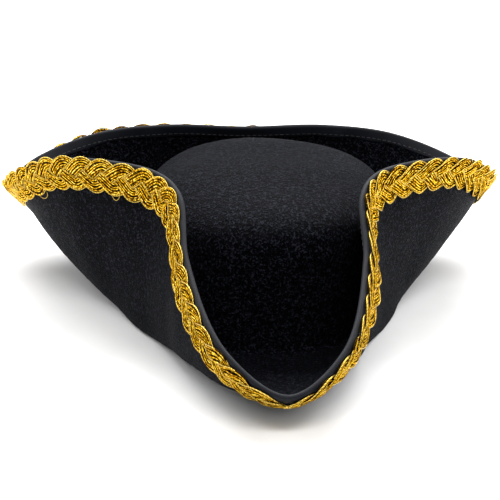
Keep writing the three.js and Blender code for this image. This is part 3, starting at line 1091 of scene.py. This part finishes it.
def add_join_zigzag():
    """The zigzag over the band's butt joint."""
    side, share = zigzag(21, 1.45 * MM)
    path = at_band(side, 3.4 * MM + 22.3 * MM * share, BAND_THICK + 0.3 * MM + 0 * side)
    grid = close_ends(tube(path, 0.24 * MM, 8, up=np.array([0, 1.0, 0]), taper=2))
    mesh = merge_doubles(grid_mesh("sweatband_join_zigzag", [grid], closed_u=False))
    replaced = ["sweatband_join_thread"]
    add_piece("sweatband_join_zigzag", mesh, BLACK_THREAD, replaces=replaced)


add_band()
add_band_stitches()
add_join_zigzag()


# ---- Care label ----

LABEL_LOW, LABEL_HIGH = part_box("care_label")
LABEL_HALF = (LABEL_HIGH.x - LABEL_LOW.x) / 2
LABEL_DROP = LABEL_HIGH.z - LABEL_LOW.z
LABEL_THICK = 0.28 * MM


def label_middle(across, down):
    """The label's middle surface: straight at its upper edge, it bows along the band further down,
    and its foot curls forward a little."""
    x = LABEL_HALF * across
    most_bow, most_curl, twist = 0.45 * MM, 1.6 * MM, 0.35 * MM
    bow = most_bow * across**2 * min(4 * down, 1)
    curl = most_curl * down**2.5 + twist * across * down**2
    y = (LABEL_LOW.y + LABEL_HIGH.y) / 2 - bow - curl
    z = LABEL_HIGH.z - LABEL_DROP * (down - 0.02 * down**2.5)
    middle = (LABEL_LOW.x + LABEL_HIGH.x) / 2
    return np.stack([middle + x, y + 0 * x, z + 0 * x], -1) - HEAD_CENTRE


def add_label():
    across = np.linspace(-1, 1, 41)
    down = np.linspace(0, 1, 33)
    middle = np.stack([label_middle(across, d) for d in down], 1)
    normal = unit(np.cross(np.gradient(middle, axis=0), np.gradient(middle, axis=1)))
    hem = np.where(down < 0.14, 0.06 * MM, 0)[None, :, None]
    front = middle + normal * (LABEL_THICK / 2 + hem)
    back = middle - normal * LABEL_THICK / 2
    grid = close_ends(np.concatenate([front, back[:, ::-1]], 1))
    mesh = merge_doubles(grid_mesh("label", [grid], closed_u=False))
    piece = add_piece("label", mesh, LABEL_LOOK, body="label", replaces=["care_label"])


def add_label_loops():
    """Loops of thread from the band to the label's upper edge, which let it swing."""
    loops = 8
    share = np.linspace(0, 1, loops * 10 + 1)
    reach = 0.5 - 0.5 * np.cos(2 * math.pi * loops * share)
    half_length = 8.6 * MM
    height = 26.9 * MM  # on the band
    behind_and_above = np.array([0, 0.35, 0.25]) * MM
    x = (2 * share - 1) * half_length
    band = at_band(x, height + 0 * x, BAND_THICK + 0.25 * MM + 0 * x)
    label = label_middle(x / LABEL_HALF, 0) + behind_and_above
    path = band + (label - band) * reach[:, None]
    grid = close_ends(tube(path, 0.2 * MM, 8, up=np.array([0, 0.6, 0.8]), taper=2))
    mesh = merge_doubles(grid_mesh("label_loops", [grid], closed_u=False))
    add_piece("label_loops", mesh, BLACK_THREAD, replaces=["label_thread"])


add_label_loops()
add_label()


# ---- Wire inside the binding ----

for name in ("brim_wire", "wire_joiner"):
    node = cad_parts[name]
    node.data.materials.clear()
    node.data.materials.append(STEEL_LOOK)


# ---- Floor and light ----


def add_floor():
    half = 3.0
    corners = [(-half, -half, 0), (half, -half, 0), (half, half, 0), (-half, half, 0)]
    mesh = bpy.data.meshes.new("floor")
    mesh.from_pydata(corners, [], [(0, 1, 2, 3)])
    mesh.materials.append(floor_material())
    floor = bpy.data.objects.new("floor", mesh)
    floor.location.z = CAD_BOX[0].z - 0.2 * MM
    bpy.context.scene.collection.objects.link(floor)


def add_light(name, place, target, size, power):
    data = bpy.data.lights.new(name, "AREA")
    data.shape = "RECTANGLE"
    data.size, data.size_y = size
    data.energy = power
    lamp = bpy.data.objects.new(name, data)
    lamp.location = place
    towards = Vector(target) - Vector(place)
    lamp.rotation_euler = towards.to_track_quat("-Z", "Y").to_euler()
    bpy.context.scene.collection.objects.link(lamp)


def add_world(strength):
    world = bpy.data.worlds.new("world")
    world.use_nodes = True
    background = world.node_tree.nodes["Background"]
    background.inputs["Color"].default_value = (1, 1, 1, 1)
    background.inputs["Strength"].default_value = strength
    bpy.context.scene.world = world


add_floor()
add_world(0.31)
add_light("overhead", (0, 0.86, 1.15), (0, 0.05, 0), (1.7, 0.8), 42)
add_light("left", (-1.2, 0.35, 0.8), (0, 0, 0.03), (1.0, 1.0), 9)
add_light("right", (1.2, 0.35, 0.8), (0, 0, 0.03), (1.0, 1.0), 13.5)
add_light("front", (0.1, -0.75, 1.15), (0, 0, 0.05), (1.0, 0.3), 11)
bpy.context.scene.view_settings.view_transform = "Standard"
